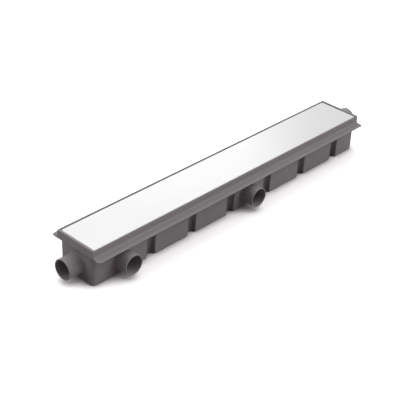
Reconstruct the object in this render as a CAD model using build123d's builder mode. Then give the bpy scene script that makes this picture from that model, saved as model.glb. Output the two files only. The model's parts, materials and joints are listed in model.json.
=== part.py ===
from build123d import *
from math import radians, tan
import os

# Linear channel drain: a moulded trough with a cover that lies in its rim.
# Millimetres. X runs along the channel, -Y is the side with two outlets, +Z is up.
# The origin is the middle of the trough's underside.

# Cover plate, whose top lies a little below the rim's
cover_length = 900.0
cover_width = 108.0
cover_corner = 3.0
cover_skin = 3.0
cover_drop = 1.8
cover_edge = 0.8
skirt_wall = 2.5
skirt_height = 9.0
rib_wall = 2.2
rib_height = 8.0
rib_spread = 36.0
foot_length = 28.0
foot_pitch = 62.0
foot_count = 14
post_diameter = 9.0

# Rim and flange
overall_height = 96.8
seat_depth = 19.4
cover_gap = 2.0
rim_wall = 2.4
rim_end_wall = 5.4
rim_bevel = 0.5
seat_corner = 3.0
flange_reach = 19.8
flange_thickness = 2.0
flange_corner = 8.0
flange_edge = 1.0
cove_radius = 6.0

# Trough, which narrows towards its base by the draft that lets it leave the mould
wall = 2.5
floor_thickness = 2.8
side_ledge = 4.3
end_ledge = 0.5
draft_angle = 1.0
shell_corner = 10.0
base_round = 4.0

# Half-round flutes down the long walls
flute_count = 6
flute_pitch = 130.5
first_flute = -281.0
flute_width = 27.0
flute_depth = 11.5

# Outlets and inlet
outlet_diameter = 50.0
outlet_wall = 2.3
outlet_height = 38.0
outlet_reach = 40.4
side_outlet_reach = 38.4
side_outlets = [-369.0, 37.5]
inlet_diameter = 50.0
inlet_wall = 2.3
inlet_drop = 36.8
inlet_reach = 34.0
root_flare = 2.5
lead_in = 0.9

os.makedirs("parts", exist_ok=True)

# Sizes that follow from those above
seat_length = cover_length + 2 * cover_gap
seat_width = cover_width + 2 * cover_gap
rim_length = seat_length + 2 * rim_end_wall
rim_width = seat_width + 2 * rim_wall
flange_width = rim_width + 2 * flange_reach
ledge_top = overall_height - seat_depth
ledge_bottom = ledge_top - flange_thickness
skin_bottom = overall_height - cover_drop - cover_skin
skirt_bottom = skin_bottom - skirt_height
rib_bottom = skin_bottom - rib_height

# The trough is widest under the ledge and loses twice the draft on its way to the base
draft_slope = tan(radians(draft_angle))
draft_run = ledge_bottom * draft_slope
base_length = seat_length - 2 * (end_ledge - wall + draft_run)
base_width = seat_width - 2 * (side_ledge - wall + draft_run)
base_corner = shell_corner - draft_run
floor_inset = wall - floor_thickness * draft_slope
floor_length = base_length - 2 * floor_inset
floor_width = base_width - 2 * floor_inset

# A flute is the part of a circle that reaches its depth into the wall
flute_radius = ((flute_width / 2) ** 2 + flute_depth**2) / (2 * flute_depth)
flute_axis = base_width / 2 + flute_radius - flute_depth
flute_stations = [first_flute + n * flute_pitch for n in range(flute_count)]
flute_centres = [(x, side * flute_axis) for x in flute_stations for side in (-1, 1)]

# Each cover post stands in the middle of the pad over a flute
pad_inner = flute_axis - flute_radius - wall
post_y = (pad_inner + seat_width / 2 - side_ledge) / 2
post_centres = [(x, side * post_y) for x in flute_stations for side in (-1, 1)]


def trough_block(bottom, top, length, width, corner, edge, radius):
    """Makes a drafted block with a rounded lower edge and upright flutes down its sides."""
    with BuildSketch(Plane.XY.offset(bottom)) as plain:
        RectangleRounded(length, width, corner)
    extrude(plain.sketch, amount=top - bottom, taper=-draft_angle)
    fillet(faces().sort_by(Axis.Z)[0].edges(), edge)
    with BuildSketch(Plane.XY.offset(bottom)) as bites:
        with Locations(*flute_centres):
            Circle(radius)
    extrude(bites.sketch, amount=top - bottom, mode=Mode.SUBTRACT)


def spigot(start, outer_radius, foot, reach):
    """Revolves a spigot that flares at its foot and is bevelled at its mouth."""
    section = Plane(origin=start.origin, x_dir=start.x_dir, z_dir=-start.y_dir)
    mouth = foot + reach
    with BuildSketch(section) as profile:
        with BuildLine():
            Polyline(
                (0, 0),
                (outer_radius + root_flare, 0),
                (outer_radius + root_flare, foot),
                (outer_radius, foot + root_flare),
                (outer_radius, mouth - lead_in),
                (outer_radius - lead_in, mouth),
                (0, mouth),
                close=True,
            )
        make_face()
    revolve(profile.sketch, axis=Axis(start.origin, start.z_dir))


# Each spigot starts where the trough is narrowest, at its floor. It has a radius, a wall,
# a foot, which is how far out the face lies that it grows from, and a reach beyond that
# face. The outlets grow from the trough's walls, and the inlet from the rim's end.
inlet_height = overall_height - inlet_drop
outlet_foot = floor_inset + outlet_height * draft_slope
inlet_foot = (rim_length - floor_length) / 2
left_end = Plane(origin=(-floor_length / 2, 0, outlet_height), z_dir=(-1, 0, 0))
right_end = Plane(origin=(floor_length / 2, 0, inlet_height), z_dir=(1, 0, 0))
spigots = [
    (left_end, outlet_diameter / 2, outlet_wall, outlet_foot, outlet_reach),
    (right_end, inlet_diameter / 2, inlet_wall, inlet_foot, inlet_reach),
]
for x in side_outlets:
    front = Plane(origin=(x, -floor_width / 2, outlet_height), z_dir=(0, -1, 0))
    spigots.append((front, outlet_diameter / 2, outlet_wall, outlet_foot, side_outlet_reach))


# Hollow of the trough, with a column left standing behind each flute
with BuildPart() as hollow:
    trough_block(
        floor_thickness,
        ledge_top,
        floor_length,
        floor_width,
        base_corner - wall,
        base_round - wall,
        flute_radius + wall,
    )


# Channel: trough, rim, flange and four spigots, moulded in one piece
with BuildPart() as channel:
    trough_block(
        0, ledge_bottom, base_length, base_width, base_corner, base_round, flute_radius
    )

    # Section of rim and flange, the same all along the channel
    with BuildSketch(Plane.YZ.offset(-rim_length / 2)):
        with BuildLine():
            Polyline(
                (0, overall_height),
                (0, ledge_bottom),
                (flange_width / 2, ledge_bottom),
                (flange_width / 2, ledge_top),
                (rim_width / 2 + cove_radius, ledge_top),
            )
            TangentArc(
                (rim_width / 2 + cove_radius, ledge_top),
                (rim_width / 2, ledge_top + cove_radius),
                tangent=(-1, 0),
            )
            Polyline(
                (rim_width / 2, ledge_top + cove_radius),
                (rim_width / 2, overall_height),
                (0, overall_height),
            )
        make_face()
        mirror(about=Plane.YZ)
    extrude(amount=rim_length)
    flange_tips = channel.edges().filter_by(Axis.Z).filter_by(
        lambda e: abs(e.center().Y) > (rim_width + flange_width) / 4
    )
    fillet(flange_tips, min(flange_corner, flange_reach - cove_radius))

    # Soft upper edge that runs round the flange, up the cove and up the rim's corner
    upper_edges = channel.edges().filter_by(
        lambda e: e.center().Z > ledge_top - flange_thickness / 4
        and e.bounding_box().max.Z < overall_height + flange_edge
        and abs(e.center().Y) > rim_width / 2 - flange_edge
    )
    outer_edges = upper_edges.filter_by(
        lambda e: abs(e.center().X) > rim_length / 2 - flange_corner
        or abs(e.center().Y) > (flange_width - flange_corner) / 2
    )
    chamfer(outer_edges, min(flange_edge, 0.6 * flange_thickness))

    for start, radius, thickness, foot, reach in spigots:
        spigot(start, radius, foot, reach)

    # Seat for the cover, then the trough below it
    with BuildSketch(Plane.XY.offset(ledge_top)):
        RectangleRounded(seat_length, seat_width, seat_corner)
    extrude(amount=seat_depth, mode=Mode.SUBTRACT)
    chamfer(channel.faces().sort_by(Axis.Z)[-1].edges(), min(rim_bevel, rim_wall / 3))
    add(hollow.part, mode=Mode.SUBTRACT)

    for start, radius, thickness, foot, reach in spigots:
        with BuildSketch(start):
            Circle(radius - thickness)
        extrude(amount=foot + reach, mode=Mode.SUBTRACT)
channel.part.label = "channel_body"
export_step(channel.part, "parts/channel_body.step")


# Cover: a moulded lid with a skirt, cross ribs and feet that stand on the ledge
with BuildPart() as cover:
    with BuildSketch(Plane.XY.offset(skirt_bottom)):
        RectangleRounded(cover_length, cover_width, cover_corner)
    extrude(amount=skirt_height + cover_skin)
    with BuildSketch(Plane.XY.offset(skirt_bottom)):
        Rectangle(cover_length - 2 * skirt_wall, cover_width - 2 * skirt_wall)
    extrude(amount=skirt_height, mode=Mode.SUBTRACT)
    fillet(cover.faces().sort_by(Axis.Z)[-1].edges(), cover_edge)

    with BuildSketch(Plane.XY.offset(rib_bottom)):
        with Locations(*[(x, 0) for x in flute_stations]):
            Rectangle(rib_wall, cover_width - skirt_wall)
        with GridLocations(0, rib_spread, 1, 2):
            Rectangle(cover_length - skirt_wall, rib_wall)
    extrude(amount=rib_height)

    with BuildSketch(Plane.XY.offset(ledge_top)):
        with GridLocations(foot_pitch, cover_width - skirt_wall, foot_count, 2):
            Rectangle(foot_length, skirt_wall)
    extrude(amount=skirt_bottom - ledge_top)
    with BuildSketch(Plane.XY.offset(ledge_top)):
        with Locations(*post_centres):
            Circle(post_diameter / 2)
    extrude(amount=skin_bottom - ledge_top)
cover.part.label = "cover_plate"
export_step(cover.part, "parts/cover_plate.step")
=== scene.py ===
import json
import math
import bmesh
import bpy
import numpy as np
from mathutils import Matrix, Vector


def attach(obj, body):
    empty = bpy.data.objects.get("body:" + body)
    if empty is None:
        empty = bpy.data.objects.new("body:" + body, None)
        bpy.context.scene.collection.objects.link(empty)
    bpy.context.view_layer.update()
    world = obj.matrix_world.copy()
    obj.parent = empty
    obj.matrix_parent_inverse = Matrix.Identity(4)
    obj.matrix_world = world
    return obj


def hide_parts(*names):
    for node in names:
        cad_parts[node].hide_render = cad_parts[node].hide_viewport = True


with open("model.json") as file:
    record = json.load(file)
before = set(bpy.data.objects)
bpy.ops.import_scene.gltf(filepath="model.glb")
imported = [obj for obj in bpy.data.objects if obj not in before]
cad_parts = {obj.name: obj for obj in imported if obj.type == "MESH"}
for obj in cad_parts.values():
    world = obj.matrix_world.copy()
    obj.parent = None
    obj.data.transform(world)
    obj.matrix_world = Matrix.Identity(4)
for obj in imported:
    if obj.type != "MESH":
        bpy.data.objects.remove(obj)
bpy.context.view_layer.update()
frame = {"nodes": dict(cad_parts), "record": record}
nodes = frame["nodes"]
mounts = {m["name"]: m for m in frame["record"]["mounts"]}
print("frame loaded:", sorted(nodes))


# Node helpers

white = (1, 1, 1, 1)
black = (0, 0, 0, 1)


def addNode(tree, kind, **values):
    node = tree.nodes.new(kind)
    for name, value in values.items():
        setattr(node, name, value)
    return node


# A source that is a socket is linked, and anything else is set as the input's value
def setInput(tree, socket, source):
    if isinstance(source, bpy.types.NodeSocket):
        tree.links.new(source, socket)
    else:
        socket.default_value = source


def feed(tree, target, **sources):
    for name, source in sources.items():
        setInput(tree, target.inputs[name.replace("_", " ")], source)
    return target


def mathNode(tree, operation, *terms):
    node = addNode(tree, "ShaderNodeMath", operation=operation)
    for socket, term in zip(node.inputs, terms):
        setInput(tree, socket, term)
    return node.outputs[0]


def blend(tree, kind, first, second, factor=1.0):
    mix = addNode(tree, "ShaderNodeMixRGB", blend_type=kind)
    return feed(tree, mix, Fac=factor, Color1=first, Color2=second).outputs[0]


def addNoise(tree, place, scale, grain):
    noise = addNode(tree, "ShaderNodeTexNoise")
    feed(tree, noise, Vector=place, Scale=scale, Detail=grain["detail"],
         Roughness=grain["roughness"])
    return noise.outputs["Fac"]


# Maps the part of a value that lies in the span onto low to high, and holds it there beyond
def spreadValue(tree, value, span, low, high, shape="LINEAR"):
    spread = addNode(tree, "ShaderNodeMapRange", interpolation_type=shape)
    feed(tree, spread, Value=value, From_Min=span[0], From_Max=span[1], To_Min=low, To_Max=high)
    return spread.outputs[0]


# Inputs and outputs map each socket's label to its kind
def makeGroup(name, inputs, outputs):
    group = bpy.data.node_groups.new(name, "ShaderNodeTree")
    for way, sockets in (("INPUT", inputs), ("OUTPUT", outputs)):
        for label, kind in sockets.items():
            group.interface.new_socket(label, in_out=way, socket_type="NodeSocket" + kind)
    return group, addNode(group, "NodeGroupInput"), addNode(group, "NodeGroupOutput")


def placeGroup(tree, group, **values):
    node = addNode(tree, "ShaderNodeGroup", node_tree=group)
    return feed(tree, node, **values)


# Camera

camera = {
    "azimuth": -47.452,       # degrees, 0 looks along +Y
    "elevation": 32.009,
    "roll": 2.637,
    "distance": 2.738,        # metres from the aim point
    "aim": (-0.0619, 0.0066, 0.0285),
    "lens": 103.61,           # millimetres
    "clip": (0.05, 60),       # metres
}


def makeCamera(settings):
    angles = (settings["azimuth"], settings["elevation"], settings["roll"])
    azimuth, elevation, roll = (math.radians(angle) for angle in angles)
    back = Vector((math.sin(azimuth) * math.cos(elevation),
                   -math.cos(azimuth) * math.cos(elevation),
                   math.sin(elevation)))
    level = Vector((math.cos(azimuth), math.sin(azimuth), 0))
    right = level * math.cos(roll) + back.cross(level) * math.sin(roll)
    turn = Matrix((right, back.cross(right), back)).transposed()
    place = Vector(settings["aim"]) + back * settings["distance"]
    data = bpy.data.cameras.new("camera")
    data.lens = settings["lens"]
    data.clip_start, data.clip_end = settings["clip"]
    shot = bpy.data.objects.new("camera", data)
    shot.matrix_world = Matrix.Translation(place) @ turn.to_4x4()
    bpy.context.collection.objects.link(shot)
    bpy.context.scene.camera = shot


makeCamera(camera)
print("camera placed")


# Effects that both plastics share

# Moulded skin: a fine pebble with slow flow marks that are stretched along the channel
skinEffect = {
    "pebble": {"detail": 3.0, "roughness": 0.55},
    "flow": {"detail": 2.0, "roughness": 0.5},
    "flowStretch": (0.22, 1.0, 1.0),
}


def makeMouldedSkin(settings):
    group, given, out = makeGroup(
        "mouldedSkin",
        {"Vector": "Vector", "Pebble Scale": "Float", "Flow Scale": "Float",
         "Flow Share": "Float"},
        {"Height": "Float"})
    place = given.outputs["Vector"]
    pebble = addNoise(group, place, given.outputs["Pebble Scale"], settings["pebble"])
    stretched = feed(group, addNode(group, "ShaderNodeMapping"), Vector=place,
                     Scale=settings["flowStretch"])
    flow = addNoise(group, stretched.outputs[0], given.outputs["Flow Scale"], settings["flow"])
    share = mathNode(group, "MULTIPLY", flow, given.outputs["Flow Share"])
    feed(group, out, Height=mathNode(group, "ADD", pebble, share))
    return group


# Tone drift: the colour wanders a little lighter and darker over several centimetres
driftEffect = {
    "cloud": {"detail": 4.0, "roughness": 0.6},
    "cloudSpan": (0.3, 0.7),  # holds nearly all of the noise
}


def makeToneDrift(settings):
    group, given, out = makeGroup(
        "toneDrift",
        {"Vector": "Vector", "Scale": "Float", "Deep": "Color", "Pale": "Color"},
        {"Color": "Color"})
    cloud = addNoise(group, given.outputs["Vector"], given.outputs["Scale"], settings["cloud"])
    share = spreadValue(group, cloud, settings["cloudSpan"], 0.0, 1.0)
    feed(group, out, Color=blend(group, "MIX", given.outputs["Deep"], given.outputs["Pale"],
                                 share))
    return group


# Handling marks: soft patches and thin random scratches where the gloss is a little different
marksEffect = {
    "patch": {"detail": 5.0, "roughness": 0.65},
    "patchSpan": (0.3, 0.7),
    "strand": {"detail": 2.0, "roughness": 0.5},
    "strandScale": 4.0,
    "strandTurn": (0.3, 0.2, 0.7),         # radians
    "strandStretch": (3.0, 240.0, 30.0),   # draws the noise out into strands
    "strandSpan": (0.60, 0.78),            # the crests, which are the scratches
}


def makeHandlingMarks(settings):
    group, given, out = makeGroup(
        "handlingMarks",
        {"Vector": "Vector", "Patch Scale": "Float", "Low": "Float", "High": "Float",
         "Scratch": "Float"},
        {"Roughness": "Float"})
    place = given.outputs["Vector"]
    patch = addNoise(group, place, given.outputs["Patch Scale"], settings["patch"])
    gloss = spreadValue(group, patch, settings["patchSpan"], given.outputs["Low"],
                        given.outputs["High"])
    turned = feed(group, addNode(group, "ShaderNodeMapping"), Vector=place,
                  Rotation=settings["strandTurn"], Scale=settings["strandStretch"])
    strand = addNoise(group, turned.outputs[0], settings["strandScale"], settings["strand"])
    scratch = spreadValue(group, strand, settings["strandSpan"], 0.0, given.outputs["Scratch"],
                          "SMOOTHSTEP")
    feed(group, out, Roughness=mathNode(group, "ADD", gloss, scratch))
    return group


mouldedSkin = makeMouldedSkin(skinEffect)
toneDrift = makeToneDrift(driftEffect)
handlingMarks = makeHandlingMarks(marksEffect)


# A plastic's own settings are its two tones, its gloss and the relief of its skin
def makePlastic(name, settings):
    material = bpy.data.materials.new(name)
    material.use_nodes = True
    tree = material.node_tree
    place = addNode(tree, "ShaderNodeTexCoord").outputs["Object"]
    tone = placeGroup(tree, toneDrift, Vector=place, Scale=settings["driftScale"],
                      Deep=settings["deep"], Pale=settings["pale"])
    marks = placeGroup(tree, handlingMarks, Vector=place, Patch_Scale=settings["patchScale"],
                       Low=settings["glossLow"], High=settings["glossHigh"],
                       Scratch=settings["scratch"])
    skin = placeGroup(tree, mouldedSkin, Vector=place, Pebble_Scale=settings["pebbleScale"],
                      Flow_Scale=settings["flowScale"], Flow_Share=settings["flowShare"])
    bump = feed(tree, addNode(tree, "ShaderNodeBump"), Strength=settings["relief"],
                Distance=settings["reliefHeight"], Height=skin.outputs["Height"])
    feed(tree, tree.nodes["Principled BSDF"], Base_Color=tone.outputs["Color"],
         Roughness=marks.outputs["Roughness"], Normal=bump.outputs["Normal"],
         IOR=settings["ior"])
    return material


# Grey moulding of the channel

channelFinish = {
    "deep": (0.306, 0.288, 0.292, 1),
    "pale": (0.338, 0.318, 0.323, 1),
    "driftScale": 7.0,        # patches a metre
    "patchScale": 16.0,
    "glossLow": 0.36,         # roughness where the skin is smoothest
    "glossHigh": 0.46,
    "scratch": 0.06,          # added to the roughness
    "pebbleScale": 700.0,
    "flowScale": 22.0,
    "flowShare": 0.6,
    "relief": 0.35,
    "reliefHeight": 0.0002,   # metres
    "ior": 1.15,              # low, because the skin is nearly matte
}

# White cover, which is smoother and glossier

coverFinish = {
    "deep": (0.700, 0.705, 0.713, 1),
    "pale": (0.727, 0.732, 0.740, 1),
    "driftScale": 3.0,
    "patchScale": 9.0,
    "glossLow": 0.23,
    "glossHigh": 0.27,
    "scratch": 0.02,
    "pebbleScale": 260.0,
    "flowScale": 12.0,
    "flowShare": 0.8,
    "relief": 0.03,
    "reliefHeight": 0.0002,
    "ior": 1.5,
}

greyMoulding = makePlastic("greyMoulding", channelFinish)
whiteCover = makePlastic("whiteCover", coverFinish)
print("materials made")


# Pieces

shading = {
    "mergeDistance": 1e-6,    # metres
    "normalWeight": 80,       # how far large faces outweigh small ones
}


def addPiece(name, mesh, material):
    mesh.materials.clear()
    mesh.materials.append(material)
    piece = bpy.data.objects.new(name, mesh)
    bpy.context.collection.objects.link(piece)
    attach(piece, "root")
    return piece


def shadeSmooth(mesh, sharpAngle):
    mesh.polygons.foreach_set("use_smooth", np.ones(len(mesh.polygons), dtype=bool))
    mesh.set_sharp_from_angle(angle=math.radians(sharpAngle))


# The weighted normals keep the large flat faces flat
def weightNormals(piece):
    finish = piece.modifiers.new("normals", "WEIGHTED_NORMAL")
    finish.keep_sharp = True
    finish.weight = shading["normalWeight"]


# The edges between the faces of one number and the faces that stay, which have number 0
def findRim(work, number, wanted):
    return [edge for edge in work.edges
            if sorted(number[face] for face in edge.link_faces) == [0, wanted]]


# How many separate loops the edges form
def countLoops(edges):
    left = set(edges)
    loops = 0
    while left:
        front = [left.pop()]
        loops += 1
        while front:
            touching = {e for v in front.pop().verts for e in v.link_edges} & left
            left -= touching
            front += touching
    return loops


# A merged copy of a node's loose triangles with smooth shading over its rounds, without the
# faces that pick numbers from 1 on. The two rims that each number leaves are bridged, so that
# the mesh stays closed.
def smoothCopy(node, name, sharpAngle, pick=None):
    mesh = node.data.copy()
    mesh.name = name
    work = bmesh.new()
    work.from_mesh(mesh)
    bmesh.ops.remove_doubles(work, verts=work.verts, dist=shading["mergeDistance"])
    if pick is not None:
        picked = pick(np.array([[v.co[:] for v in face.verts] for face in work.faces]))
        number = dict(zip(work.faces, picked))
        rims = [findRim(work, number, wanted) for wanted in range(1, picked.max() + 1)]
        bmesh.ops.delete(work, geom=[f for f in work.faces if number[f]], context="FACES")
        for rim in rims:
            if countLoops(rim) == 2:
                bmesh.ops.bridge_loops(work, edges=rim)
        bmesh.ops.recalc_face_normals(work, faces=work.faces)
    work.to_mesh(mesh)
    work.free()
    shadeSmooth(mesh, sharpAngle)
    return mesh


# Spigots. Each is a closed profile of radius and distance along the axis, turned about the
# axis of its mount, which gives the outer radius, the middle of the plain wall and its length.

spigot = {
    "wall": 0.0023,
    "leadIn": 0.0009,         # bevel at the mouth, rounded into the wall
    "flare": 0.0025,          # hollow round at the foot
    "lipRound": 0.0004,
    "depth": {                # from the foot to the inside of the trough
        "outlet_end": 0.0031,
        "outlet_front_near": 0.0031,
        "outlet_front_middle": 0.0031,
        "inlet_end": 0.0071,
    },
    "around": 160,            # facets round the axis
    "arcPoints": 7,
    "wallPoints": 12,
    "sharpAngle": 50,         # degrees
}


# Outer radius and length of the plain wall, in metres
def plainWall(mount):
    return mount["dims"]["r_mm"] / 1000, mount["dims"]["length_mm"] / 1000


# Points of a quarter round from one angle to another, both in degrees
def arc(centre, radius, start, end, count):
    angle = np.radians(np.linspace(start, end, count))
    return np.stack([centre[0] + radius * np.cos(angle),
                     centre[1] + radius * np.sin(angle)], axis=1)


# The profile runs up the bore to the mouth, over the lip, down the outside to the flare and
# foot, and back to the bore inside the wall. Distance zero is the middle of the plain wall.
def spigotProfile(radius, length, depth, settings):
    wall, leadIn, flare = settings["wall"], settings["leadIn"], settings["flare"]
    lip, count, rows = settings["lipRound"], settings["arcPoints"], settings["wallPoints"]
    bore = radius - wall
    mouth = length / 2 + leadIn
    foot = -length / 2 - flare
    inside = np.linspace(foot - depth, mouth - lip, rows)
    outside = np.linspace(length / 2, -length / 2, rows)[1:-1]
    return np.concatenate([
        np.stack([np.full(rows, bore), inside], axis=1)[:-1],
        arc((bore + lip, mouth - lip), lip, 180, 90, count),
        arc((radius - leadIn, mouth - leadIn), leadIn, 90, 0, count),
        np.stack([np.full(rows - 2, radius), outside], axis=1),
        arc((radius + flare, foot + flare), flare, 180, 270, count),
        np.array([(radius + flare, foot - wall / 2),
                  (bore + lip, foot - wall / 2),
                  (bore + lip, foot - depth)]),
    ])


# Point (i, j) is middle + distance(i) * along + radius(i) * (cos(t) * side + sin(t) * up),
# where t is column j's angle round the axis. Rows and columns both close on themselves.
def turnProfile(name, profile, middle, axis, settings):
    along = np.array(axis, float)
    up = np.array((0.0, 0.0, 1.0))
    side = np.cross(up, along)
    rows, columns = len(profile), settings["around"]
    angle = np.linspace(0, 2 * np.pi, columns, endpoint=False)
    spokes = np.cos(angle)[:, None] * side + np.sin(angle)[:, None] * up
    points = (np.array(middle) + profile[:, 1, None, None] * along
              + profile[:, 0, None, None] * spokes[None])
    i, j = np.meshgrid(np.arange(rows), np.arange(columns), indexing="ij")
    nextRow, nextColumn = (i + 1) % rows, (j + 1) % columns
    faces = np.stack([i * columns + j, i * columns + nextColumn,
                      nextRow * columns + nextColumn, nextRow * columns + j], axis=-1)
    mesh = bpy.data.meshes.new(name)
    mesh.from_pydata(points.reshape(-1, 3), [], faces.reshape(-1, 4))
    work = bmesh.new()
    work.from_mesh(mesh)
    bmesh.ops.recalc_face_normals(work, faces=work.faces)
    work.to_mesh(mesh)
    work.free()
    shadeSmooth(mesh, settings["sharpAngle"])
    return mesh


def makeSpigot(mount, name):
    radius, length = plainWall(mount)
    profile = spigotProfile(radius, length, spigot["depth"][mount["name"]], spigot)
    mesh = turnProfile(name, profile, mount["pos_m"], mount["axis"], spigot)
    return addPiece(name, mesh, greyMoulding)


spigotNames = {"outlet_end": "endOutlet", "outlet_front_near": "nearSideOutlet",
               "outlet_front_middle": "middleSideOutlet", "inlet_end": "endInlet"}
spigots = [makeSpigot(mounts[name], label) for name, label in spigotNames.items()]
print("spigots turned:", len(spigots))


# Channel body: the merged copy, less the coarse spigots that the turned ones stand for

body = {
    "sharpAngle": 32,         # degrees
    "ringSpare": 0.0003,      # how far inside and outside a spigot its coarse faces may lie
    "depthSpare": 0.002,      # how far beyond its inner end they may reach
}


# A face belongs to a spigot where all its corners lie in the ring between bore and flare, and
# beyond the inside of the trough. It gets the spigot's number, and any other face gets 0.
def spigotOf(corners):
    found = np.zeros(len(corners), dtype=int)
    for number, name in enumerate(spigotNames, 1):
        mount = mounts[name]
        radius, length = plainWall(mount)
        offset = corners - np.array(mount["pos_m"])
        along = offset @ np.array(mount["axis"], float)
        ring = np.sqrt(np.maximum((offset ** 2).sum(-1) - along ** 2, 0))
        inner = radius - spigot["wall"] - body["ringSpare"]
        outer = radius + spigot["flare"] + body["ringSpare"]
        start = -length / 2 - spigot["flare"] - spigot["depth"][name] - body["depthSpare"]
        found[((ring > inner) & (ring < outer) & (along > start)).all(axis=1)] = number
    return found


bodyMesh = smoothCopy(nodes["channel_body"], "channelBody", body["sharpAngle"], spigotOf)
channelBody = addPiece("channelBody", bodyMesh, greyMoulding)
weightNormals(channelBody)
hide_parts("channel_body")
print("channel body made:", len(bodyMesh.polygons), "faces")


# Cover

cover = {
    "sharpAngle": 32,         # degrees
}

coverMesh = smoothCopy(nodes["cover_plate"], "coverPlate", cover["sharpAngle"])
coverPlate = addPiece("coverPlate", coverMesh, whiteCover)
weightNormals(coverPlate)
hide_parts("cover_plate")
print("cover made:", len(coverMesh.polygons), "faces")


# Floor, world and lamps

stage = {
    "floorHalf": 8.0,                        # metres
    "floorSeen": (0.98, 0.98, 0.98, 1),      # what camera, mirrors and glass see
    "floorBounce": (0.28, 0.24, 0.255, 1),   # what lights the object from below
    "contactReach": 0.019,                   # metres over which the painted contact shadow fades
    "contactSamples": 16,
    "domeLight": (0.052, 0.044, 0.047, 1),   # even light from all round
    "keys": [                                # broad soft lights and where each comes from
        {"from": (0.0, 0.8, 0.6), "tightness": 3.0, "light": 0.45},
        {"from": (0.0, 0.0, 1.0), "tightness": 3.0, "light": 0.42},
        {"from": (-0.6, 0.6, 0.55), "tightness": 10.0, "light": 1.45},
        {"from": (0.45, -0.75, 0.48), "tightness": 10.0, "light": 1.88},
        {"from": (0.45, -0.40, 0.80), "tightness": 10.0, "light": 1.05},
    ],
}

# The softbox stands behind the far end, where the cover mirrors it over its left half
farSoftbox = {
    "name": "farSoftbox",
    "place": (1.55, 1.8, 1.7),
    "aim": (1.55, 0.0, 0.1),
    "size": (1.9, 0.8),       # metres
    "power": 24.0,            # watts
}


# 1 for rays that come from the camera, a mirror or glass, and 0 for all others
def seenMask(tree):
    path = addNode(tree, "ShaderNodeLightPath")
    mirrored = mathNode(tree, "MAXIMUM", path.outputs["Is Camera Ray"],
                        path.outputs["Is Glossy Ray"])
    return mathNode(tree, "MAXIMUM", mirrored, path.outputs["Is Transmission Ray"])


# Camera, mirrors and glass see two pale layers, so that the open floor is white and only the
# shadow is darker.
# Near the object their colour is darkened further by ambient occlusion, which is painted
# contact shadow.
# All other rays see the bounce colour of the first layer.
def makeFloor(settings):
    half = settings["floorHalf"]
    corners = [(-half, -half, 0), (half, -half, 0), (half, half, 0), (-half, half, 0)]
    mesh = bpy.data.meshes.new("floor")
    mesh.from_pydata(corners, [], [(0, 1, 2, 3)])
    floor = bpy.data.objects.new("floor", mesh)
    bpy.context.collection.objects.link(floor)
    material = bpy.data.materials.new("floor")
    material.use_nodes = True
    tree = material.node_tree
    tree.nodes.clear()
    seen = seenMask(tree)
    # Painted contact shadow: ambient occlusion darkens the floor colour seen by camera, mirrors
    # and glass near the object
    paintedContactShade = addNode(tree, "ShaderNodeAmbientOcclusion", samples=settings["contactSamples"])
    feed(tree, paintedContactShade, Distance=settings["contactReach"])
    pale = blend(tree, "MULTIPLY", settings["floorSeen"], paintedContactShade.outputs["AO"])
    both = addNode(tree, "ShaderNodeAddShader")
    for socket, unseen in zip(both.inputs, (settings["floorBounce"], black)):
        layer = addNode(tree, "ShaderNodeBsdfDiffuse")
        feed(tree, layer, Color=blend(tree, "MIX", unseen, pale, seen))
        tree.links.new(layer.outputs[0], socket)
    feed(tree, addNode(tree, "ShaderNodeOutputMaterial"), Surface=both.outputs[0])
    mesh.materials.append(material)


# Soft studio light: an even dome with broad keys in it. Each key is a lobe, the cosine of the
# angle from its direction raised to a power. Rays that come from the camera or from a mirror
# or glass see plain white.
def makeWorld(settings):
    world = bpy.data.worlds.new("world")
    world.use_nodes = True
    tree = world.node_tree
    towards = addNode(tree, "ShaderNodeTexCoord").outputs["Generated"]
    light = 0.0
    for key in settings["keys"]:
        facing = addNode(tree, "ShaderNodeVectorMath", operation="DOT_PRODUCT")
        setInput(tree, facing.inputs[0], towards)
        setInput(tree, facing.inputs[1], Vector(key["from"]).normalized())
        ahead = mathNode(tree, "MAXIMUM", facing.outputs["Value"], 0.0)
        lobe = mathNode(tree, "POWER", ahead, key["tightness"])
        light = mathNode(tree, "ADD", mathNode(tree, "MULTIPLY", lobe, key["light"]), light)
    lit = blend(tree, "ADD", light, settings["domeLight"])
    shown = blend(tree, "MIX", lit, white, seenMask(tree))
    feed(tree, tree.nodes["Background"], Color=shown, Strength=1.0)
    bpy.context.scene.world = world


def makeLamp(settings):
    data = bpy.data.lights.new(settings["name"], "AREA")
    data.shape = "RECTANGLE"
    data.size, data.size_y = settings["size"]
    data.energy = settings["power"]
    lamp = bpy.data.objects.new(settings["name"], data)
    lamp.location = settings["place"]
    lamp.rotation_mode = "QUATERNION"
    towards = Vector(settings["aim"]) - Vector(settings["place"])
    lamp.rotation_quaternion = towards.to_track_quat("-Z", "Y")
    bpy.context.collection.objects.link(lamp)


makeFloor(stage)
makeWorld(stage)
makeLamp(farSoftbox)
print("floor and lamps set")

bpy.context.scene.view_settings.view_transform = "Standard"
